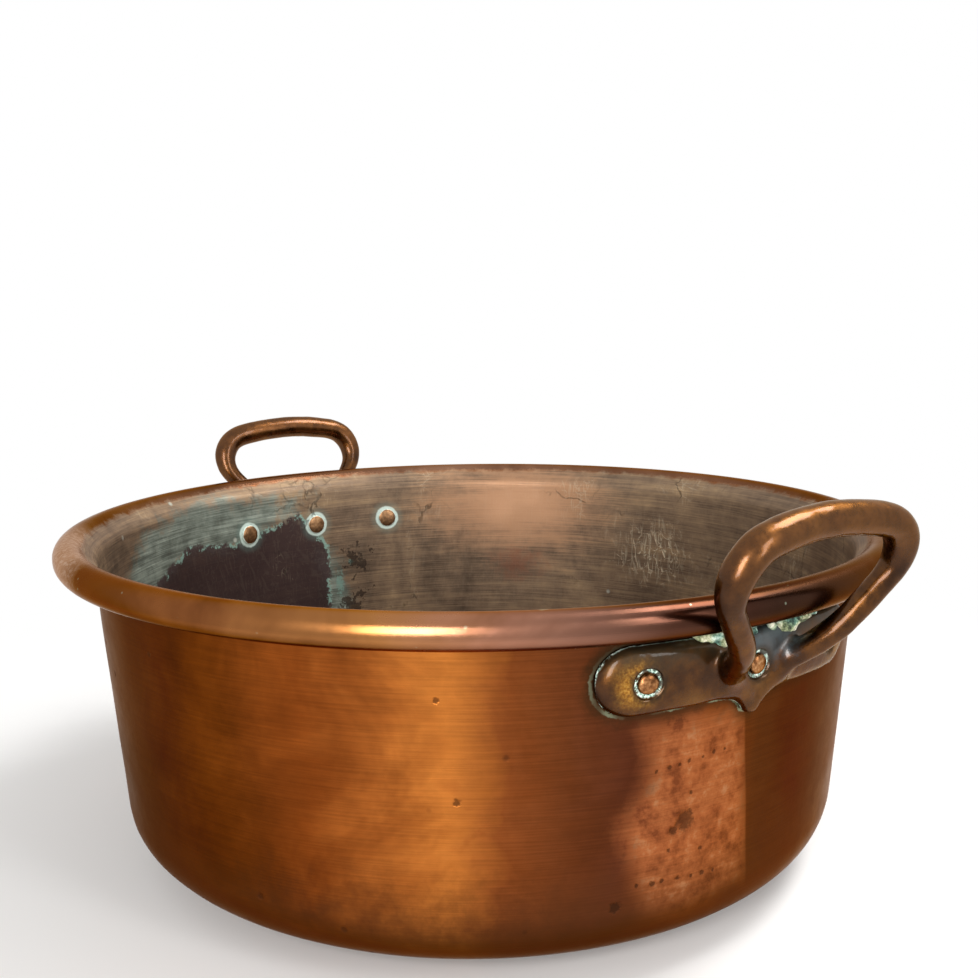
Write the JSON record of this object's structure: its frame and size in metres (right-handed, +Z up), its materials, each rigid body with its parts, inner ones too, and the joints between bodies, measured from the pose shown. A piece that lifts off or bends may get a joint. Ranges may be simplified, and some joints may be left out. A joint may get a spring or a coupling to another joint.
{
  "type": "jam pan",
  "caption": "Wide copper preserving pan with rounded bottom corner, rolled rim and cast loop handles riveted on opposite sides.",
  "frame": {"origin": "middle of the pan's flat underside", "axes": "+X towards the right handle, -X towards the left handle, +Z up through the open mouth"},
  "size_m": [0.47, 0.4198, 0.2013],
  "materials": {
    "copper_sheet": "worn satin copper with brown patina and verdigris",
    "iron_wire": "dull drawn iron",
    "cast_bronze": "rubbed golden-brown casting",
    "copper_rivet": "hammered copper"
  },
  "bodies": {
    "root": {"pan_body": "copper_sheet", "rim_wire": "iron_wire", "handle_right": "cast_bronze", "handle_left": "cast_bronze", "right_rivet_1": "copper_rivet", "right_rivet_2": "copper_rivet", "right_rivet_3": "copper_rivet", "left_rivet_1": "copper_rivet", "left_rivet_2": "copper_rivet", "left_rivet_3": "copper_rivet"}
  },
  "joints": []
}
